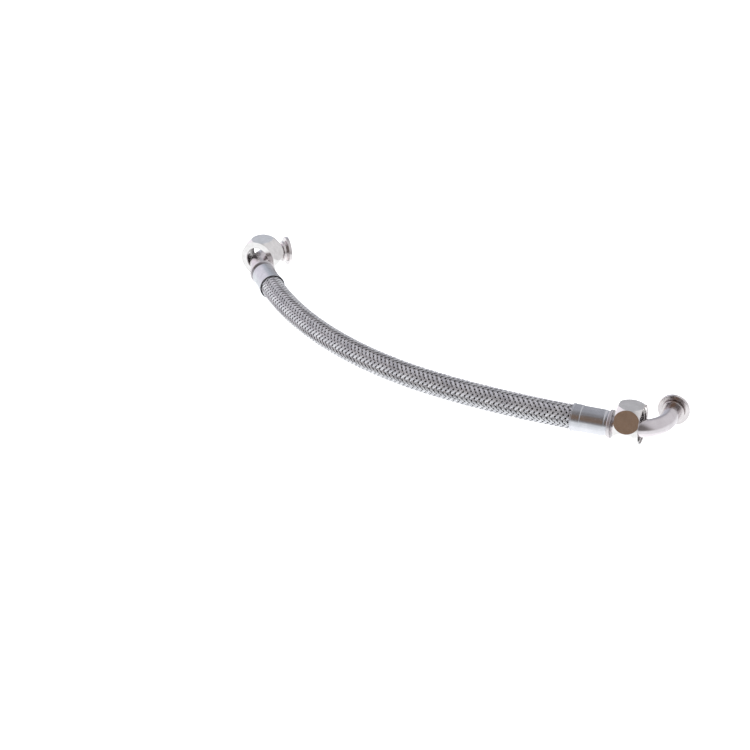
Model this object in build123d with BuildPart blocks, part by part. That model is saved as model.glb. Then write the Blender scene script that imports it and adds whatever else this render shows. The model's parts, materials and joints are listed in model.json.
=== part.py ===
"""Braided supply line: a crimped, steel-braided hose with two bent tube ends and two loose union nuts.

Frame: the origin is the centre of the right sealing face, which looks along +Y. The whole line lies flat
on the XY plane, its right ferrule runs along X, and +Z is up. Lengths are in millimetres.
"""

import os
from math import degrees, radians, sqrt

from build123d import *

# hose: two level arcs, the gentle one next to the right ferrule
hose_outer_radius = 9.25
braid_inner_radius = 8.0
liner_outer_radius = 7.97
liner_bore_radius = 6.5
gentle_curve_radius = 560.0
gentle_curve_angle = 10.8
tight_curve_radius = 315.0
tight_curve_angle = 39.4
gentle_length = radians(gentle_curve_angle) * gentle_curve_radius
tight_length = radians(tight_curve_angle) * tight_curve_radius
hose_length = tight_length + gentle_length

# flexing: the hose is cut into links that turn on balls
pivot_count = 9
ball_radius = 10.5
ball_gap = 0.05
ball_overrun = 1.0
trim_reach = 2 * ball_radius

# ferrule, measured from its mouth
ferrule_length = 27.3
mouth_length = 7.0
mouth_radius = 10.1
lip_radius = 10.5
lip_length = 1.0
mouth_bore_radius = 9.27
crimp_radius = 9.7
crimp_bore_radius = 8.87
crimp_end = 24.6
end_wall = 1.5
neck_radius = 9.1
neck_start = 25.5
step_length = 0.4

# barbed insert
hose_end = 25.6
insert_tip = 2.0
barb_count = 5
barb_radius = 6.9
barb_root_radius = 6.55
barb_flat = 0.6
tip_inset = 0.6
barbs_end = 22.6
groove_start = 25.8
groove_radius = 7.55
flange_radius = 10.5
flange_thickness = 2.7
flange_round = 0.6
end_length = ferrule_length + flange_thickness

# bent tube: its straight legs run from the flange to the bend, and from the bend to the collar
tube_radius = 6.5
tube_bore_radius = 5.0
bend_radius = 23.0
bend_angle = 90.0
inner_leg = {"left": 9.5, "right": 12.5}
outer_leg = {"left": 6.5, "right": 12.5}
socket_depth = 4.0

# collar with its flat sealing face
collar_radius = 11.9
collar_thickness = 2.8
collar_lip = 1.0
bead_radius = 8.6
bead_length = 2.2
bead_gap = 1.0
bead_gap_radius = 7.7

# union nut, G3/4
nut_across_flats = 30.0
nut_length = 18.0
nut_half_length = nut_length / 2
nut_corner_radius = 17.25
nut_barrel_radius = 21.2
nut_end_radius = nut_corner_radius - nut_barrel_radius + sqrt(nut_barrel_radius**2 - nut_half_length**2)
nut_web = 4.0
nut_hole_radius = 9.75
nut_hole_chamfer = 0.5
thread_minor_radius = 12.06
thread_major_radius = 13.22
thread_runout = 0.7
relief_length = 2.0
entry_chamfer = 1.3
nut_lift = 2.6
nut_inset = 1.2
nut_angle = {"left": 45.0, "right": 0.0}

fit_gap = 0.02
edge_round = 0.35


def after_straight(start, length):
    """The station a straight length further on."""
    return Plane(origin=start.origin + start.x_dir * length, x_dir=start.x_dir, z_dir=start.z_dir)


def after_arc(start, radius, angle):
    """The station after a level arc: a positive radius and angle turn left."""
    centre = start.origin + start.y_dir * radius
    arm = (start.origin - centre).rotate(Axis.Z, angle)
    return Plane(origin=centre + arm, x_dir=start.x_dir.rotate(Axis.Z, angle), z_dir=start.z_dir)


def turned_round(start):
    """The same station, facing back."""
    return Plane(origin=start.origin, x_dir=start.x_dir * -1, z_dir=start.z_dir)


def across(start):
    """The plane square to the heading, its own X to the left and its own Y up."""
    return Plane(origin=start.origin, x_dir=start.y_dir, z_dir=start.x_dir)


def axis_of(start):
    """The line through a station along its heading."""
    return Axis(start.origin, start.x_dir)


right_mouth = Plane(
    origin=(
        -bend_radius - inner_leg["right"] - end_length,
        -bend_radius - outer_leg["right"] - collar_thickness,
        0,
    ),
    x_dir=(1, 0, 0),
    z_dir=(0, 0, 1),
)
curve_change = after_arc(right_mouth, gentle_curve_radius, -gentle_curve_angle)
hose_start = after_arc(curve_change, tight_curve_radius, -tight_curve_angle)
left_mouth = turned_round(hose_start)

# each end: its ferrule's mouth, and which way its tube bends
ends = {"left": (left_mouth, -1), "right": (right_mouth, 1)}


def hose_station(distance):
    """A station on the hose's centre line, measured from the left ferrule's mouth."""
    if distance <= 0:
        return after_straight(hose_start, distance)
    if distance <= tight_length:
        return after_arc(hose_start, tight_curve_radius, degrees(distance / tight_curve_radius))
    if distance <= hose_length:
        turned = degrees((distance - tight_length) / gentle_curve_radius)
        return after_arc(curve_change, gentle_curve_radius, turned)
    return after_straight(right_mouth, distance - hose_length)


def draw_hose_line(first, last):
    """Draw the hose's centre line between two distances, inside a BuildLine block."""
    inner_joins = [join for join in (0.0, tight_length, hose_length) if first < join < last]
    joins = [first, *inner_joins, last]
    for begin, finish in zip(joins, joins[1:]):
        middle = (begin + finish) / 2
        if 0 < middle < hose_length:
            ThreePointArc(
                hose_station(begin).origin,
                hose_station(middle).origin,
                hose_station(finish).origin,
            )
        else:
            Line(hose_station(begin).origin, hose_station(finish).origin)


def round_rims(part, smallest_radius):
    """The circular edges of a turned piece from a given radius up."""
    circles = part.edges().filter_by(GeomType.CIRCLE)
    return circles.filter_by(lambda edge: edge.radius > smallest_radius - fit_gap)


def save(part, label):
    """Name a piece and write it as its own STEP file."""
    part.label = label
    export_step(part, f"parts/{label}.step")


os.makedirs("parts", exist_ok=True)

# hose links: each ends in a ball about its pivot, and the next link starts in the matching socket
pivots = [hose_length * (i + 0.5) / pivot_count for i in range(pivot_count)]
link_starts = [-hose_end] + pivots
link_ends = pivots + [hose_length + hose_end]
layers = {
    "liner": (liner_outer_radius, liner_bore_radius),
    "braid": (hose_outer_radius, braid_inner_radius),
}
for number, (first, last) in enumerate(zip(link_starts, link_ends), start=1):
    is_left_end = number == 1
    is_right_end = number == pivot_count + 1
    reach = 0 if is_right_end else ball_radius + ball_overrun
    start = hose_station(first)
    for layer, (outer_radius, inner_radius) in layers.items():
        with BuildPart() as link:
            with BuildLine():
                draw_hose_line(first, last + reach)
            with BuildSketch(across(start)):
                Circle(outer_radius)
                Circle(inner_radius, mode=Mode.SUBTRACT)
            sweep()
            if not is_left_end:
                with Locations(start.origin):
                    Sphere(ball_radius + ball_gap, mode=Mode.SUBTRACT)
            if not is_right_end:
                end = hose_station(last)
                with BuildSketch(end):
                    with BuildLine():
                        CenterArc((0, 0), ball_radius, 0, 90)
                        Polyline(
                            (0, ball_radius),
                            (0, trim_reach),
                            (trim_reach, trim_reach),
                            (trim_reach, 0),
                            (ball_radius, 0),
                        )
                    make_face()
                revolve(axis=axis_of(end), mode=Mode.SUBTRACT)
            if is_left_end or is_right_end:
                mouth = left_mouth if is_left_end else right_mouth
                if layer == "liner":
                    with BuildSketch(across(after_straight(mouth, insert_tip))):
                        Circle(barb_radius + fit_gap)
                    extrude(amount=hose_end, mode=Mode.SUBTRACT)
                else:
                    with BuildSketch(across(after_straight(mouth, mouth_length - step_length))):
                        Circle(2 * hose_outer_radius)
                        Circle(crimp_bore_radius - fit_gap, mode=Mode.SUBTRACT)
                    extrude(amount=hose_end, mode=Mode.SUBTRACT)
        save(link.part, f"{layer}_link_{number:02d}")

for side, (mouth, turn) in ends.items():
    # ferrule: a thin sleeve, crimped smaller past its mouth and turned in at its end
    with BuildPart() as ferrule:
        with BuildSketch(mouth):
            with BuildLine():
                Polyline(
                    (0, mouth_bore_radius),
                    (0, lip_radius),
                    (lip_length, lip_radius),
                    (lip_length, mouth_radius),
                    (mouth_length, mouth_radius),
                    (mouth_length + step_length, crimp_radius),
                    (crimp_end, crimp_radius),
                    (neck_start, neck_radius),
                    (ferrule_length, neck_radius),
                    (ferrule_length, groove_radius + fit_gap),
                    (ferrule_length - end_wall, groove_radius + fit_gap),
                    (ferrule_length - end_wall, crimp_bore_radius),
                    (mouth_length, crimp_bore_radius),
                    (mouth_length - step_length, mouth_bore_radius),
                    close=True,
                )
            make_face()
        revolve(axis=axis_of(mouth))
        fillet(round_rims(ferrule, lip_radius), radius=edge_round)
    save(ferrule.part, f"{side}_ferrule")

    # barbed insert: holds the liner, stops the ferrule and takes the bent tube
    barb_pitch = (barbs_end - insert_tip) / barb_count
    barbs = []
    for barb in range(barb_count):
        heel = insert_tip + (barb + 1) * barb_pitch
        barbs += [(heel - barb_flat, barb_radius), (heel, barb_radius), (heel, barb_root_radius)]
    with BuildPart() as insert:
        with BuildSketch(mouth):
            with BuildLine():
                Polyline(
                    (insert_tip, tube_bore_radius),
                    (insert_tip, barb_root_radius - tip_inset),
                    *barbs,
                    (groove_start, barb_root_radius),
                    (groove_start, groove_radius),
                    (ferrule_length, groove_radius),
                    (ferrule_length, flange_radius),
                    (end_length, flange_radius),
                    (end_length, tube_radius + fit_gap),
                    (end_length - socket_depth, tube_radius + fit_gap),
                    (end_length - socket_depth, tube_bore_radius),
                    close=True,
                )
            make_face()
        revolve(axis=axis_of(mouth))
        fillet(round_rims(insert, flange_radius), radius=flange_round)
    save(insert.part, f"{side}_insert")

    # bent tube
    socket_floor = after_straight(mouth, end_length - socket_depth)
    bend_start = after_straight(mouth, end_length + inner_leg[side])
    bend_middle = after_arc(bend_start, turn * bend_radius, turn * bend_angle / 2)
    bend_end = after_arc(bend_start, turn * bend_radius, turn * bend_angle)
    collar_back = after_straight(bend_end, outer_leg[side])
    tube_end = after_straight(collar_back, collar_thickness - collar_lip)
    with BuildPart() as tube:
        with BuildLine():
            Line(socket_floor.origin, bend_start.origin)
            ThreePointArc(bend_start.origin, bend_middle.origin, bend_end.origin)
            Line(bend_end.origin, tube_end.origin)
        with BuildSketch(across(socket_floor)):
            Circle(tube_radius)
            Circle(tube_bore_radius, mode=Mode.SUBTRACT)
        sweep()
    save(tube.part, f"{side}_elbow_tube")

    # collar: flat sealing flange with a bead behind it
    bead_back = -bead_gap - bead_length
    with BuildPart() as collar:
        with BuildSketch(collar_back):
            with BuildLine():
                Polyline(
                    (bead_back, tube_radius + fit_gap),
                    (bead_back, bead_radius),
                    (-bead_gap, bead_radius),
                    (-bead_gap, bead_gap_radius),
                    (0, bead_gap_radius),
                    (0, collar_radius),
                    (collar_thickness, collar_radius),
                    (collar_thickness, tube_bore_radius),
                    (collar_thickness - collar_lip, tube_bore_radius),
                    (collar_thickness - collar_lip, tube_radius + fit_gap),
                    close=True,
                )
            make_face()
        revolve(axis=axis_of(collar_back))
        fillet(round_rims(collar, bead_radius), radius=edge_round)
    save(collar.part, f"{side}_collar")

    # union nut: its corners are turned down to a barrel, so each flat is nearly a disc
    on_bend = after_arc(bend_start, turn * bend_radius, turn * nut_angle[side])
    nut_centre = on_bend.origin + on_bend.y_dir * turn * nut_inset + Vector(0, 0, nut_lift)
    nut_middle = Plane(origin=nut_centre, x_dir=on_bend.x_dir, z_dir=on_bend.z_dir)
    nut_back = after_straight(nut_middle, -nut_half_length)
    thread_start = nut_web + relief_length + thread_runout
    with BuildPart() as nut:
        with BuildSketch(across(nut_back)):
            RegularPolygon(nut_across_flats / 2, side_count=6, major_radius=False)
        extrude(amount=nut_length)
        with BuildSketch(nut_middle):
            with BuildLine():
                ThreePointArc(
                    (-nut_half_length, nut_end_radius),
                    (0, nut_corner_radius),
                    (nut_half_length, nut_end_radius),
                )
                Polyline(
                    (nut_half_length, nut_end_radius),
                    (nut_half_length, 0),
                    (-nut_half_length, 0),
                    (-nut_half_length, nut_end_radius),
                )
            make_face()
        revolve(axis=axis_of(nut_middle), mode=Mode.INTERSECT)
        with BuildSketch(nut_back):
            with BuildLine():
                Polyline(
                    (0, 0),
                    (0, nut_hole_radius + nut_hole_chamfer),
                    (nut_hole_chamfer, nut_hole_radius),
                    (nut_web, nut_hole_radius),
                    (nut_web, thread_major_radius),
                    (nut_web + relief_length, thread_major_radius),
                    (thread_start, thread_minor_radius),
                    (nut_length - entry_chamfer, thread_minor_radius),
                    (nut_length, thread_minor_radius + entry_chamfer),
                    (nut_length, 0),
                    close=True,
                )
            make_face()
        revolve(axis=axis_of(nut_back), mode=Mode.SUBTRACT)
    save(nut.part, f"{side}_union_nut")
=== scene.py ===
"""The looks of the braided supply line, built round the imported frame. Lengths are in metres."""

import json
import math

import bpy
import numpy as np
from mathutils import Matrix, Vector

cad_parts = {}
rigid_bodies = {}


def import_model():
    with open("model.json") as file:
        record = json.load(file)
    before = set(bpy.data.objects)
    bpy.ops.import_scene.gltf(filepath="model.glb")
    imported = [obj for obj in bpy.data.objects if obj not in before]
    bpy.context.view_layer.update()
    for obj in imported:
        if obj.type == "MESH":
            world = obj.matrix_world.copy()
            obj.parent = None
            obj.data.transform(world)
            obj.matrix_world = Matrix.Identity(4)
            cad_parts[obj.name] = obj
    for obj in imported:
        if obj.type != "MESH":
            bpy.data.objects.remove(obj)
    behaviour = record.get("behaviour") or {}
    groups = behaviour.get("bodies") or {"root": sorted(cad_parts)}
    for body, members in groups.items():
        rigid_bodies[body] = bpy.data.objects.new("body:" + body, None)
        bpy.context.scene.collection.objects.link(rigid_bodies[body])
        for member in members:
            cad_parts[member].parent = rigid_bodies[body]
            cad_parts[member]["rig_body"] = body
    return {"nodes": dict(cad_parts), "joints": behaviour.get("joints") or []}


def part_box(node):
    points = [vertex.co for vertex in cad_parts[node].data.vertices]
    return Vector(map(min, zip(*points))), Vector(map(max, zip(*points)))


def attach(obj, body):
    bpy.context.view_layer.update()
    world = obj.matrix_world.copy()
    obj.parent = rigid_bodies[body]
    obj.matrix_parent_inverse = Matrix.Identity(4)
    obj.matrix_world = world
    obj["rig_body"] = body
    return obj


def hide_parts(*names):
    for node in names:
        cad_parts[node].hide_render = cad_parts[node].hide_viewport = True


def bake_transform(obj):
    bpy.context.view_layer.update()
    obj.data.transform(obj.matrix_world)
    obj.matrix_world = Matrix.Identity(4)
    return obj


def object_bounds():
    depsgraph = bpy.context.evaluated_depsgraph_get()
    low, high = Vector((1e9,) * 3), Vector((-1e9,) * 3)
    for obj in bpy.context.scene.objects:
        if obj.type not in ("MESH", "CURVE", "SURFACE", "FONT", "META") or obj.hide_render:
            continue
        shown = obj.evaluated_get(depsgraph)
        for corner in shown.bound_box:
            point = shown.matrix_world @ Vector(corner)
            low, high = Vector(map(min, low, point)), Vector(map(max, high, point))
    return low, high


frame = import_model()
first_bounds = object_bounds()

MM = 0.001
UP = np.array((0.0, 0.0, 1.0))
SIDES = ("left", "right")
joints = {joint["name"]: joint for joint in frame["joints"]}


# ---------------------------------------------------------------- measuring the frame
def points_of(node):
    """A CAD node's vertices as rows of x, y, z."""
    return np.array([vertex.co for vertex in frame["nodes"][node].data.vertices], float)


class TurnedLine:
    """The axis of a turned CAD piece, and its reach along and across that axis."""

    def __init__(self, node, towards):
        mesh = frame["nodes"][node].data
        spread = np.zeros((3, 3))
        for face in mesh.polygons:
            normal = np.array(face.normal, float)
            spread += face.area * np.outer(normal, normal)
        # a turned piece faces two directions alike, and its axis is the direction that differs
        values, vectors = np.linalg.eigh(spread)
        odd_one = 0 if values[1] - values[0] > values[2] - values[1] else 2
        axis = vectors[:, odd_one]
        points = points_of(node)
        if (np.array(towards, float) - points.mean(0)) @ axis < 0:
            axis = -axis
        across = np.cross(UP, axis)
        across /= np.linalg.norm(across)
        along = points @ axis
        sideways = points @ across
        middle_across = (sideways.max() + sideways.min()) / 2
        middle_up = (points[:, 2].max() + points[:, 2].min()) / 2
        self.axis = axis
        self.across = across
        self.start = axis * along.min() + across * middle_across + UP * middle_up
        self.length = along.max() - along.min()
        offsets = points - self.start
        radii = np.linalg.norm(offsets - np.outer(offsets @ axis, axis), axis=1)
        self.outer_radius = radii.max()
        self.inner_radius = radii.min()


def joint_place(name):
    """A hinge's place in the row frame."""
    return np.array(joints[name]["pos_m"], float)


nut_hinge = {side: joint_place(f"{side}_nut_travel") for side in SIDES}
ferrules = {side: TurnedLine(f"{side}_ferrule", nut_hinge[side]) for side in SIDES}
inserts = {side: TurnedLine(f"{side}_insert", nut_hinge[side]) for side in SIDES}
collars = {}
for side in SIDES:
    beyond_collar = 2 * points_of(f"{side}_collar").mean(0) - nut_hinge[side]
    collars[side] = TurnedLine(f"{side}_collar", beyond_collar)


# ---------------------------------------------------------------- the hose's centre line
pivots = sorted(
    (joint for joint in frame["joints"] if joint["name"].startswith("hose_")),
    key=lambda joint: int(joint["name"].split("_")[-1]),
)
pivot_places = [joint_place(joint["name"]) for joint in pivots]
knots = np.array([ferrules["left"].start, *pivot_places, ferrules["right"].start])
stops = np.concatenate(([0.0], np.cumsum(np.linalg.norm(np.diff(knots, axis=0), axis=1))))
hose_length = stops[-1]


def clamped_slopes(stops, values, first_slope, last_slope):
    """The slopes of the smooth curve through values at stops, with its two end slopes given."""
    count = len(stops)
    gaps = np.diff(stops)
    system = np.zeros((count, count))
    wanted = np.zeros((count, values.shape[1]))
    system[0, 0] = system[-1, -1] = 1.0
    wanted[0], wanted[-1] = first_slope, last_slope
    for i in range(1, count - 1):
        before, after = gaps[i - 1], gaps[i]
        system[i, i - 1 : i + 2] = after, 2 * (before + after), before
        rise_before = (values[i] - values[i - 1]) / before
        rise_after = (values[i + 1] - values[i]) / after
        wanted[i] = 3 * (after * rise_before + before * rise_after)
    return np.linalg.solve(system, wanted)


slopes = clamped_slopes(stops, knots, -ferrules["left"].axis, ferrules["right"].axis)


def hose_points(distances):
    """Points and headings on the hose's centre line; it runs straight on inside the ferrules."""
    distances = np.asarray(distances, float)
    inside = np.clip(distances, 0.0, hose_length)
    piece = np.clip(np.searchsorted(stops, inside, side="right") - 1, 0, len(stops) - 2)
    gap = stops[piece + 1] - stops[piece]
    t = ((inside - stops[piece]) / gap)[:, None]
    gap = gap[:, None]
    p0, p1 = knots[piece], knots[piece + 1]
    m0, m1 = slopes[piece] * gap, slopes[piece + 1] * gap
    place = (2 * t**3 - 3 * t**2 + 1) * p0 + (t**3 - 2 * t**2 + t) * m0
    place += (-2 * t**3 + 3 * t**2) * p1 + (t**3 - t**2) * m1
    heading = (6 * t**2 - 6 * t) * p0 + (3 * t**2 - 4 * t + 1) * m0
    heading += (-6 * t**2 + 6 * t) * p1 + (3 * t**2 - 2 * t) * m1
    heading /= np.linalg.norm(heading, axis=1)[:, None]
    place += heading * (distances - inside)[:, None]
    return place, heading


def around_hose(distances, angles, radii):
    """Points on the hose: angles are measured from the top towards the outside of its curve."""
    place, heading = hose_points(distances)
    outwards = np.cross(heading, UP)
    ring = np.cos(angles)[..., None] * UP + np.sin(angles)[..., None] * outwards[:, None, :]
    return place[:, None, :] + radii[..., None] * ring


# ---------------------------------------------------------------- mesh helpers
round_points = 5
largest_round_share = 0.49
lathe_columns = 144


def new_object(name, vertices, faces, material):
    """A smooth-shaded mesh object with one material."""
    mesh = bpy.data.meshes.new(name)
    mesh.from_pydata([tuple(vertex) for vertex in vertices], [], [tuple(face) for face in faces])
    mesh.validate()
    mesh.shade_smooth()
    mesh.materials.append(material)
    thing = bpy.data.objects.new(name, mesh)
    bpy.context.scene.collection.objects.link(thing)
    return thing


def grid_faces(rows, columns, first=0, close_rows=False):
    """Quads over a grid whose columns close into a ring, and whose rows may too."""
    row = np.arange(rows if close_rows else rows - 1)[:, None]
    column = np.arange(columns)[None, :]
    next_row = (row + 1) % rows
    next_column = (column + 1) % columns
    quads = np.stack(
        (
            first + row * columns + column,
            first + row * columns + next_column,
            first + next_row * columns + next_column,
            first + next_row * columns + column,
        ),
        axis=-1,
    )
    return quads.reshape(-1, 4)


def rounded(outline, rounds):
    """A closed outline of (along, radius) pairs with its corners rounded."""
    outline = [np.array(point, float) for point in outline]
    result = []
    for i, corner in enumerate(outline):
        before = outline[i - 1] - corner
        after = outline[(i + 1) % len(outline)] - corner
        before_length, after_length = np.linalg.norm(before), np.linalg.norm(after)
        reach = min(rounds[i], before_length * largest_round_share, after_length * largest_round_share)
        first = corner + before / before_length * reach
        last = corner + after / after_length * reach
        for t in np.linspace(0.0, 1.0, round_points):
            result.append((1 - t) ** 2 * first + 2 * t * (1 - t) * corner + t**2 * last)
    return np.array(result)


def lathe(name, line, outline, relief, material):
    """A turned piece from a closed outline of (along, radius) pairs; relief adds to the radius."""
    angles = np.linspace(0, 2 * math.pi, lathe_columns, endpoint=False)
    along = outline[:, 0]
    radii = outline[:, 1][None, :] + relief(angles[:, None], along[None, :], outline[:, 1][None, :])
    ring = np.cos(angles)[:, None] * UP + np.sin(angles)[:, None] * line.across
    points = line.start + along[None, :, None] * line.axis + radii[..., None] * ring[:, None, :]
    faces = grid_faces(lathe_columns, len(outline), close_rows=True)
    return new_object(name, points.reshape(-1, 3), faces, material)


def finished(thing, body, slot_name, *nodes):
    """Hang a piece on its body and hide the CAD nodes it stands for."""
    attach(thing, body)
    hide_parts(*nodes)


# ---------------------------------------------------------------- materials
ring_drift = 0.02


class Finish:
    """A procedural material: a principled surface with small helpers for its inputs."""

    def __init__(self, name, metallic, roughness):
        self.material = bpy.data.materials.new(name)
        self.material.use_nodes = True
        self.nodes = self.material.node_tree.nodes
        self.links = self.material.node_tree.links
        self.surface = self.nodes["Principled BSDF"]
        self.surface.inputs["Metallic"].default_value = metallic
        self.surface.inputs["Roughness"].default_value = roughness
        self.place = self.nodes.new("ShaderNodeTexCoord").outputs["Object"]

    def noise(self, scale, detail=3.0, source=None):
        """Noise of scale features a metre, over the piece or over another place."""
        if source is None:
            source = self.place
        texture = self.nodes.new("ShaderNodeTexNoise")
        texture.inputs["Scale"].default_value = scale
        texture.inputs["Detail"].default_value = detail
        self.links.new(source, texture.inputs["Vector"])
        return texture.outputs["Fac"]

    def turned(self, line, scale):
        """Noise in rings round a turned piece's axis, as a lathe tool or a polishing belt leaves them."""
        offset = self.vector_math("SUBTRACT", self.place, tuple(line.start))
        along = self.nodes.new("ShaderNodeVectorMath")
        along.operation = "DOT_PRODUCT"
        self.links.new(offset, along.inputs[0])
        along.inputs[1].default_value = tuple(line.axis)
        off_axis = self.vector_math("CROSS_PRODUCT", offset, tuple(line.axis))
        outwards = self.nodes.new("ShaderNodeVectorMath")
        outwards.operation = "LENGTH"
        self.links.new(off_axis, outwards.inputs[0])
        rings = self.nodes.new("ShaderNodeCombineXYZ")
        self.links.new(along.outputs["Value"], rings.inputs["X"])
        self.links.new(outwards.outputs["Value"], rings.inputs["Y"])
        drift = self.vector_math("MULTIPLY", offset, (ring_drift, ring_drift, ring_drift))
        place = self.nodes.new("ShaderNodeVectorMath")
        place.operation = "ADD"
        self.links.new(rings.outputs["Vector"], place.inputs[0])
        self.links.new(drift, place.inputs[1])
        return self.noise(scale, detail=2.0, source=place.outputs["Vector"])

    def vector_math(self, operation, source, value):
        """A vector worked out from another vector and a fixed one."""
        node = self.nodes.new("ShaderNodeVectorMath")
        node.operation = operation
        self.links.new(source, node.inputs[0])
        node.inputs[1].default_value = value
        return node.outputs["Vector"]

    def ramp(self, source, low, high, first=0.3, last=0.7):
        """Colours between low and high."""
        ramp = self.nodes.new("ShaderNodeValToRGB")
        ramp.color_ramp.elements[0].position = first
        ramp.color_ramp.elements[1].position = last
        ramp.color_ramp.elements[0].color = (*low, 1.0)
        ramp.color_ramp.elements[1].color = (*high, 1.0)
        self.links.new(source, ramp.inputs["Fac"])
        return ramp.outputs["Color"]

    def scaled(self, source, low, high):
        """A value moved from 0..1 to low..high."""
        remap = self.nodes.new("ShaderNodeMapRange")
        remap.inputs["To Min"].default_value = low
        remap.inputs["To Max"].default_value = high
        self.links.new(source, remap.inputs["Value"])
        return remap.outputs["Result"]

    def colour(self, source):
        """Give the surface its colour."""
        self.links.new(source, self.surface.inputs["Base Color"])

    def roughness(self, source):
        """Give the surface its roughness."""
        self.links.new(source, self.surface.inputs["Roughness"])

    def bumps(self, source, depth, strength):
        """Raise the surface by depth metres."""
        bump = self.nodes.new("ShaderNodeBump")
        bump.inputs["Distance"].default_value = depth
        bump.inputs["Strength"].default_value = strength
        self.links.new(source, bump.inputs["Height"])
        self.links.new(bump.outputs["Normal"], self.surface.inputs["Normal"])


def satin_nickel(side):
    """Dull nickel plating over a bent brass tube."""
    finish = Finish(f"satin_nickel_{side}", 1.0, 0.3)
    cloud = finish.noise(120.0)
    finish.colour(finish.ramp(cloud, (0.57, 0.53, 0.545), (0.66, 0.62, 0.635)))
    finish.roughness(finish.scaled(finish.noise(900.0), 0.12, 0.24))
    finish.bumps(finish.noise(1600.0, detail=2.0), 0.03 * MM, 0.5)
    return finish.material


def turned_nickel(side, line):
    """Nickel plating over turned brass, with fine tool rings."""
    finish = Finish(f"turned_nickel_{side}", 1.0, 0.25)
    cloud = finish.noise(150.0)
    finish.colour(finish.ramp(cloud, (0.60, 0.565, 0.565), (0.70, 0.66, 0.655)))
    finish.roughness(finish.scaled(finish.noise(1200.0), 0.12, 0.26))
    finish.bumps(finish.turned(line, 5000.0), 0.02 * MM, 0.5)
    return finish.material


def dull_insert(side, line):
    """The insert's flange: thin plating rubbed dull by the crimping jaws."""
    finish = Finish(f"dull_insert_{side}", 1.0, 0.3)
    cloud = finish.noise(220.0)
    finish.colour(finish.ramp(cloud, (0.56, 0.53, 0.54), (0.66, 0.63, 0.64)))
    finish.roughness(finish.scaled(finish.noise(1200.0), 0.30, 0.44))
    finish.bumps(finish.turned(line, 5000.0), 0.02 * MM, 0.5)
    return finish.material


def bright_nickel(side, line):
    """Nickel plating over a machined nut."""
    finish = Finish(f"bright_nickel_{side}", 1.0, 0.2)
    cloud = finish.noise(260.0, detail=4.0)
    finish.colour(finish.ramp(cloud, (0.69, 0.67, 0.655), (0.78, 0.76, 0.745)))
    finish.roughness(finish.scaled(finish.noise(900.0), 0.13, 0.25))
    finish.bumps(finish.turned(line, 4000.0), 0.015 * MM, 0.4)
    return finish.material


def ferrule_steel(side, line):
    """Drawn stainless sheet, polished round the sleeve."""
    finish = Finish(f"ferrule_steel_{side}", 1.0, 0.25)
    cloud = finish.noise(200.0)
    finish.colour(finish.ramp(cloud, (0.50, 0.505, 0.53), (0.58, 0.585, 0.61)))
    finish.roughness(finish.scaled(finish.noise(1500.0), 0.16, 0.32))
    finish.bumps(finish.turned(line, 6000.0), 0.02 * MM, 0.6)
    return finish.material


def braid_wire():
    """Bright drawn wire, no two strands quite alike."""
    finish = Finish("braid_wire", 1.0, 0.3)
    strand = finish.nodes.new("ShaderNodeNewGeometry").outputs["Random Per Island"]
    finish.colour(finish.ramp(strand, (0.56, 0.56, 0.58), (0.72, 0.72, 0.73), 0.0, 1.0))
    finish.roughness(finish.scaled(finish.noise(2200.0), 0.34, 0.50))
    finish.bumps(finish.noise(4000.0, detail=1.0), 0.02 * MM, 0.4)
    return finish.material


def liner_rubber():
    """Matt black rubber under the braid."""
    finish = Finish("liner_rubber", 0.0, 0.7)
    finish.colour(finish.ramp(finish.noise(400.0), (0.012, 0.012, 0.013), (0.028, 0.027, 0.027)))
    finish.roughness(finish.scaled(finish.noise(900.0), 0.6, 0.85))
    finish.bumps(finish.noise(1500.0), 0.08 * MM, 0.5)
    return finish.material


wire = braid_wire()
rubber = liner_rubber()


# ---------------------------------------------------------------- hose: woven braid over a rubber liner
def half_height(node):
    """Half the height of a CAD node's box: the radius of a level hose link."""
    lowest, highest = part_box(node)
    return (highest.z - lowest.z) / 2


hose_radius = half_height("braid_link_05")
liner_radius = half_height("liner_link_05")

# weave: bundles each way, their turns over the hose's length, and how they rise and sink at crossings
bundles = 12
braid_turns = 6.9
lead = hose_length / braid_turns
rows_per_turn = 6
row_turn = math.radians(33.0)
crossing_steepness = 1.5
weave_depth = 0.27 * MM
rings_per_piece = 56
hidden_length = 5.0 * MM

# bundle: its share of the room it has, its crowned top of round wires, its flat underside in wire radii
bundle_share = 0.6
bundle_crown = 0.16 * MM
bundle_underside = -0.7
underside_share = 0.97
wires_per_bundle = 7
wire_radius = 0.17 * MM
wire_profile = ((-1.0, 0.0), (-0.6, 0.8), (0.0, 1.0), (0.6, 0.8))
weave_radius = hose_radius - weave_depth - wire_radius

# liner: a little fuller than its CAD links
liner_cover = 0.1 * MM
liner_wall = 1.4 * MM
liner_columns = 48


def bundle_section():
    """One bundle's cross-section: (share of its width, height in wire radii), wires on top, flat below."""
    section = []
    for number in range(wires_per_bundle):
        middle = (2 * number + 1) / wires_per_bundle - 1
        for share, height in wire_profile:
            section.append((middle + share / wires_per_bundle, height))
    section.append((1.0, 0.0))
    for share in (underside_share, 0.0, -underside_share):
        section.append((share, bundle_underside))
    return np.array(section)


def piece_reaches():
    """The stretch of hose that bends at each pivot: from the middle of one link to the middle of the next."""
    middles = (stops[1:-2] + stops[2:-1]) / 2
    edges = np.concatenate(([-hidden_length], middles, [hose_length + hidden_length]))
    return list(zip(edges[:-1], edges[1:]))


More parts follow.
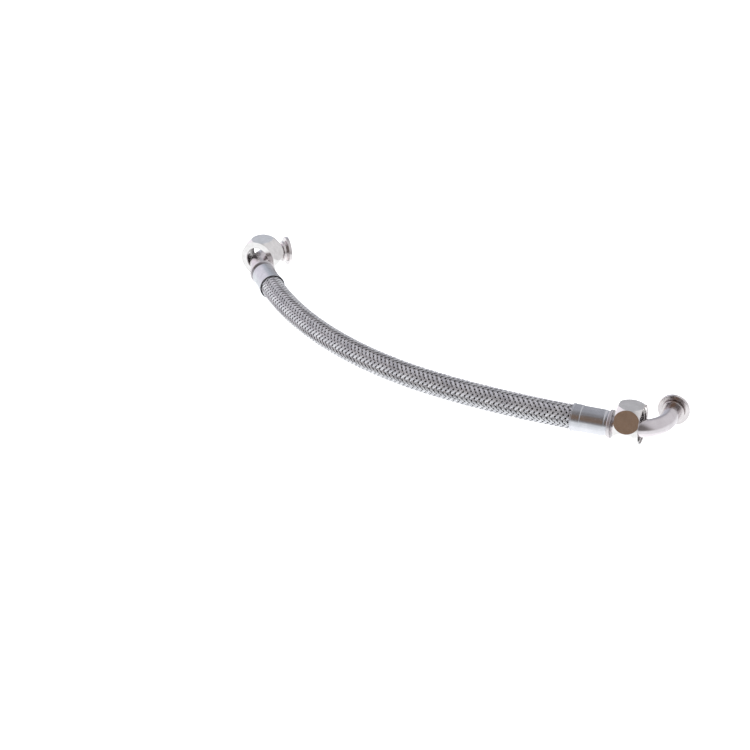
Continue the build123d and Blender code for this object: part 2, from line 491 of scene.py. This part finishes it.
def weave(name, first, last):
    """All the bundles of one stretch, 12 each way, over two and under two."""
    section = bundle_section()
    distances = np.linspace(first, last, rings_per_piece + 1)
    half_width = math.pi / bundles * bundle_share
    vertices, faces = [], []
    for direction in (1, -1):
        for number in range(bundles):
            middle = 2 * math.pi * number / bundles + direction * 2 * math.pi * distances / lead
            angles = middle[:, None] + section[None, :, 0] * half_width
            over = np.clip(crossing_steepness * np.cos((angles - row_turn) * rows_per_turn), -1, 1)
            radii = weave_radius + direction * weave_depth * over + section[None, :, 1] * wire_radius
            radii = radii - bundle_crown * section[None, :, 0] ** 2
            first_vertex = len(vertices) * len(distances) * len(section)
            faces.append(grid_faces(len(distances), len(section), first=first_vertex))
            vertices.append(around_hose(distances, angles, radii).reshape(-1, 3))
    return new_object(name, np.concatenate(vertices), np.concatenate(faces), wire)


def liner_sleeve(name, first, last):
    """One stretch of the liner: a tube along the hose with closed ends."""
    radius = liner_radius + liner_cover
    distances = np.linspace(first, last, rings_per_piece // 2)
    angles = np.linspace(0, 2 * math.pi, liner_columns, endpoint=False)
    along = np.concatenate((distances, distances[::-1]))
    radii = np.concatenate((np.full(len(distances), radius), np.full(len(distances), radius - liner_wall)))
    points = around_hose(along, np.tile(angles, (len(along), 1)), np.tile(radii[:, None], (1, liner_columns)))
    faces = grid_faces(len(along), liner_columns, close_rows=True)
    return new_object(name, points.reshape(-1, 3), faces, rubber)


for number, (first, last) in enumerate(piece_reaches(), start=1):
    bend_from, bend_to = hose_points([max(first, 0.0), min(last, hose_length)])[0]
    links = [number, number + 1] if number == len(pivots) else [number]
    braid = weave(f"woven_braid_{number}", first, last)
    liner = liner_sleeve(f"rubber_liner_{number}", first, last)
    for thing, layer, slot_name in ((braid, "braid", "braid_wire"), (liner, "liner", "liner_rubber")):
        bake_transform(thing)
        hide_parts(*(f"{layer}_link_{link:02d}" for link in links))

# ---------------------------------------------------------------- ferrules: drawn sleeves with crimp marks
lip_length = 1.0 * MM
lip_edge = 0.35 * MM
mouth_flare = 1.8 * MM
mouth_length = 7.0 * MM
crimp_step = 0.4 * MM
mouth_inset = 0.4 * MM
crimp_inset = 0.8 * MM
neck_inset = 1.4 * MM
neck_length = 2.7 * MM
neck_blend = 0.9 * MM
sheet = 0.83 * MM
end_wall = 1.5 * MM
jaw_count = 8
jaw_mark_height = 0.09 * MM
jaw_mark_width = math.radians(2.2)
outline_step = 0.35 * MM


def with_points_between(outline, step):
    """The same closed outline with extra points along its long stretches."""
    result = []
    for point, following in zip(outline, np.roll(outline, -1, axis=0)):
        count = max(1, int(np.linalg.norm(following - point) / step))
        for i in range(count):
            result.append(point + (following - point) * i / count)
    return np.array(result)


def ferrule_outline(line):
    """The sleeve's closed section, from its rolled mouth to its turned-in end."""
    lip = line.outer_radius
    mouth, crimp, neck = lip - mouth_inset, lip - crimp_inset, lip - neck_inset
    crimp_end = line.length - neck_length
    corners = [
        ((mouth_flare, mouth - sheet), 0.2 * MM),
        ((0.0, lip - lip_edge), 0.1 * MM),
        ((0.0, lip), 0.2 * MM),
        ((lip_length, lip), 0.4 * MM),
        ((lip_length, mouth), 0.3 * MM),
        ((mouth_length, mouth), 0.5 * MM),
        ((mouth_length + crimp_step, crimp), 0.5 * MM),
        ((crimp_end, crimp), 0.6 * MM),
        ((crimp_end + neck_blend, neck), 0.6 * MM),
        ((line.length, neck), 0.4 * MM),
        ((line.length, line.inner_radius), 0.1 * MM),
        ((line.length - end_wall, line.inner_radius), 0.1 * MM),
        ((line.length - end_wall, crimp - sheet), 0.2 * MM),
        ((mouth_length + crimp_step, crimp - sheet), 0.3 * MM),
        ((mouth_length, mouth - sheet), 0.3 * MM),
    ]
    outline = rounded([corner for corner, size in corners], [size for corner, size in corners])
    return with_points_between(outline, outline_step)


def crimp_marks(line):
    """Low ridges left along the sleeve between the crimping jaws."""

    def relief(angle, along, radius):
        from_mark = (angle * jaw_count / (2 * math.pi) + 0.5) % 1.0 - 0.5
        ridge = np.exp(-((from_mark * 2 * math.pi / jaw_count / jaw_mark_width) ** 2))
        first = mouth_length + 3 * crimp_step
        last = line.length - neck_length - 2 * crimp_step
        crimped = np.clip((along - first) / crimp_step, 0, 1) * np.clip((last - along) / crimp_step, 0, 1)
        outside = radius > line.outer_radius - neck_inset
        return jaw_mark_height * ridge * crimped * outside

    return relief


# ---------------------------------------------------------------- nuts: CAD body outside, cut thread inside
thread_pitch = 1.814 * MM
thread_flat = 0.15
thread_rows_per_pitch = 12
thread_runout = 0.7 * MM
nut_columns = 128
nut_web = 4.0 * MM
nut_relief = 2.0 * MM
entry_chamfer = 1.3 * MM
back_chamfer = 0.5 * MM
step_width = 0.001 * MM
largest_bore = 14.0 * MM
bore_margin = 0.1 * MM
measuring_slack = 0.02 * MM
end_face_depth = 0.01 * MM


def nut_line(side):
    """The nut's axis, from its plain back to its threaded mouth."""
    away_from_ferrule = 2 * points_of(f"{side}_union_nut").mean(0) - ferrules[side].start
    return TurnedLine(f"{side}_union_nut", away_from_ferrule)


def nut_bore(line, radii):
    """The inside of the nut as radii over rows along it and columns round it."""
    hole, minor, major = radii
    rows = int(line.length / thread_pitch * thread_rows_per_pitch)
    relief_end = nut_web + nut_relief
    changes = [back_chamfer, nut_web, nut_web + step_width, relief_end, relief_end + step_width]
    along = np.sort(np.concatenate((np.linspace(0.0, line.length, rows), changes)))
    angles = np.linspace(0, 2 * math.pi, nut_columns, endpoint=False)
    turns = along[:, None] / thread_pitch - angles[None, :] / (2 * math.pi)
    flank = np.abs((turns % 1.0) * 2 - 1)
    thread = minor + (major - minor) * np.clip(flank * (1 + 2 * thread_flat) - thread_flat, 0, 1)
    runout_share = np.clip((along - relief_end) / thread_runout, 0, 1)[:, None]
    bore = major + (thread - major) * runout_share
    bore = np.maximum(bore, minor + (along - (line.length - entry_chamfer))[:, None])
    in_web = along <= nut_web
    web_radius = np.maximum(hole, hole + back_chamfer - along)
    bore[in_web] = web_radius[in_web][:, None]
    return along, angles, bore


def threaded_nut(side, material):
    """The CAD nut's outside joined to a bore with a real thread."""
    line = nut_line(side)
    mesh = frame["nodes"][f"{side}_union_nut"].data
    points = points_of(f"{side}_union_nut")
    offsets = points - line.start
    along = offsets @ line.axis
    radii = np.linalg.norm(offsets - np.outer(along, line.axis), axis=1)
    # the relief groove stands at the thread's major radius, and the entry chamfer ends at its minor one
    hole = line.inner_radius
    in_relief = np.abs(along - (nut_web + nut_relief / 2)) < nut_relief / 2 + measuring_slack
    major = radii[in_relief & (radii < largest_bore)].max()
    at_entry = np.abs(along - (line.length - entry_chamfer)) < measuring_slack
    minor = radii[at_entry].min()
    rows, angles, bore = nut_bore(line, (hole, minor, major))
    mouth_radius = bore[-1].max()
    faces = []
    for face in mesh.polygons:
        corners = list(face.vertices)
        middle_along = along[corners].mean()
        on_end = middle_along < end_face_depth or middle_along > line.length - end_face_depth
        if on_end or radii[corners].mean() > mouth_radius + bore_margin:
            faces.append(corners)
    ring = np.cos(angles)[:, None] * UP + np.sin(angles)[:, None] * line.across
    inside = line.start + rows[:, None, None] * line.axis + bore[..., None] * ring[None, :, :]
    inside_faces = grid_faces(len(rows), len(angles), first=len(points))[:, ::-1]
    vertices = np.concatenate((points, inside.reshape(-1, 3)))
    return new_object(f"{side}_hex_nut", vertices, faces + [list(face) for face in inside_faces], material)


for side in SIDES:
    end_body = frame["nodes"][f"{side}_ferrule"]["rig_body"]
    nut_body = frame["nodes"][f"{side}_union_nut"]["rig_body"]
    steel = ferrule_steel(side, ferrules[side])
    outline = ferrule_outline(ferrules[side])
    relief = crimp_marks(ferrules[side])
    ferrule_piece = lathe(f"{side}_crimped_ferrule", ferrules[side], outline, relief, steel)
    finished(ferrule_piece, end_body, "ferrule_steel", f"{side}_ferrule")
    nut_piece = threaded_nut(side, bright_nickel(side, nut_line(side)))
    finished(nut_piece, nut_body, "plated_nut", f"{side}_union_nut")
    finishes = {
        "insert": dull_insert(side, inserts[side]),
        "elbow_tube": satin_nickel(side),
        "collar": turned_nickel(side, collars[side]),
    }
    for piece, finish in finishes.items():
        node = frame["nodes"][f"{side}_{piece}"]
        node.data.materials.clear()
        node.data.materials.append(finish)

# ---------------------------------------------------------------- stage, light and camera
view_elevation = math.radians(28.3)
view_turn = math.radians(21.2)
view_distance = 1.648
view_limit = 100.0
aim_from_mouth = np.array((-0.1567, 0.0086, -0.0005))
view_aim = Vector(ferrules["right"].start + aim_from_mouth)
sensor_width_mm = 36.0
focal_length_mm = 105.6
floor_glow = 1.0
floor_drop = 0.4
floor_reach = 6.0
floor_depth = 9.0
curl_radius = 2.0
curl_rows = 13
away = np.array((-math.sin(view_turn), math.cos(view_turn), 0.0))
rightwards = np.array((math.cos(view_turn), math.sin(view_turn), 0.0))


def floor_material():
    """A white glass table: pale to the camera, clear to the light that comes up through it."""
    finish = Finish("white_table", 0.0, 0.6)
    cloud = finish.ramp(finish.noise(3.0), (0.97, 0.97, 0.97), (1.0, 1.0, 1.0))
    finish.colour(cloud)
    finish.links.new(cloud, finish.surface.inputs["Emission Color"])
    finish.surface.inputs["Emission Strength"].default_value = floor_glow
    clear = finish.nodes.new("ShaderNodeBsdfTransparent")
    seen = finish.nodes.new("ShaderNodeLightPath").outputs["Is Camera Ray"]
    mix = finish.nodes.new("ShaderNodeMixShader")
    finish.links.new(seen, mix.inputs["Fac"])
    finish.links.new(clear.outputs["BSDF"], mix.inputs[1])
    finish.links.new(finish.surface.outputs["BSDF"], mix.inputs[2])
    finish.links.new(mix.outputs["Shader"], finish.nodes["Material Output"].inputs["Surface"])
    return finish.material


def build_floor():
    """A wide floor that curls up far behind, low enough to stay clear of a hose bent down."""
    lowest = first_bounds[0].z - floor_drop
    rows = [(-floor_depth, 0.0)]
    for turn in np.linspace(0, math.pi / 2, curl_rows):
        distance = floor_depth - curl_radius + curl_radius * math.sin(turn)
        rows.append((distance, curl_radius - curl_radius * math.cos(turn)))
    vertices, faces = [], []
    for distance, height in rows:
        for sideways in (-floor_reach, floor_reach):
            vertices.append(away * distance + rightwards * sideways + UP * (lowest + height))
    for i in range(len(rows) - 1):
        faces.append((2 * i, 2 * i + 1, 2 * i + 3, 2 * i + 2))
    floor = new_object("table", vertices, faces, floor_material())


class Sky:
    """Colours for the studio's surroundings, worked out from the direction looked in."""

    def __init__(self):
        world = bpy.data.worlds.new("studio")
        bpy.context.scene.world = world
        world.use_nodes = True
        self.nodes, self.links = world.node_tree.nodes, world.node_tree.links
        self.direction = self.nodes.new("ShaderNodeTexCoord").outputs["Generated"]
        self.background = self.nodes["Background"]

    def facing(self, wanted, low, high):
        """0 to 1 as the direction looked in turns towards the wanted one."""
        dot = self.nodes.new("ShaderNodeVectorMath")
        dot.operation = "DOT_PRODUCT"
        dot.inputs[1].default_value = Vector(wanted).normalized()
        self.links.new(self.direction, dot.inputs[0])
        ramp = self.nodes.new("ShaderNodeMapRange")
        ramp.interpolation_type = "SMOOTHSTEP"
        ramp.inputs["From Min"].default_value = low
        ramp.inputs["From Max"].default_value = high
        self.links.new(dot.outputs["Value"], ramp.inputs["Value"])
        return ramp.outputs["Result"]

    def mixed(self, share, first, last):
        """A colour between first and last; either may be a colour or another mix."""
        mix = self.nodes.new("ShaderNodeMix")
        mix.data_type = "RGBA"
        self.links.new(share, mix.inputs["Factor"])
        for socket, colour in zip([s for s in mix.inputs if s.type == "RGBA"], (first, last)):
            if isinstance(colour, tuple):
                socket.default_value = (*colour, 1.0)
            else:
                self.links.new(colour, socket)
        return [s for s in mix.outputs if s.type == "RGBA"][0]


def build_sky():
    """A pale wall behind, a dim room on the camera's side, soft windows left and right, light from below."""
    to_warm_screen = -0.5 * rightwards - 0.72 * away + 0.485 * UP
    to_left_window = 0.35 * away - rightwards + 0.2 * UP
    to_right_window = rightwards + 0.15 * away + 0.4 * UP
    sky = Sky()
    room = sky.mixed(sky.facing(rightwards, 0.2, 0.7), (0.24, 0.225, 0.22), (0.50, 0.48, 0.48))
    front = sky.mixed(sky.facing(to_warm_screen, 0.91, 0.98), room, (0.255, 0.168, 0.115))
    wall = sky.mixed(sky.facing(rightwards, -0.06, 0.12), (0.66, 0.70, 0.78), (0.47, 0.48, 0.52))
    back = sky.mixed(sky.facing(UP, 0.48, 0.72), wall, (0.48, 0.49, 0.53))
    look = sky.mixed(sky.facing(away, -0.35, 0.25), front, back)
    look = sky.mixed(sky.facing(to_left_window, 0.45, 0.75), look, (1.15, 1.11, 1.2))
    look = sky.mixed(sky.facing(to_right_window, 0.33, 0.62), look, (0.86, 0.86, 0.89))
    look = sky.mixed(sky.facing(-UP, -0.08, 0.3), look, (1.22, 1.25, 1.28))
    look = sky.mixed(sky.facing(-UP, 0.6, 0.9), look, (1.6, 1.62, 1.65))
    sky.links.new(look, sky.background.inputs["Color"])


def build_camera():
    """The camera at the photo's angle."""
    flat = Vector((math.sin(view_turn), -math.cos(view_turn), 0.0)) * math.cos(view_elevation)
    back = flat + Vector((0.0, 0.0, math.sin(view_elevation)))
    lens = bpy.data.cameras.new("camera")
    lens.sensor_width = sensor_width_mm
    lens.lens = focal_length_mm
    lens.clip_end = view_limit
    camera = bpy.data.objects.new("camera", lens)
    camera.location = view_aim + back * view_distance
    camera.rotation_mode = "QUATERNION"
    camera.rotation_quaternion = (-back).to_track_quat("-Z", "Y")
    bpy.context.scene.collection.objects.link(camera)
    bpy.context.scene.camera = camera


build_floor()
build_sky()
build_camera()
bpy.context.scene.view_settings.view_transform = "Standard"
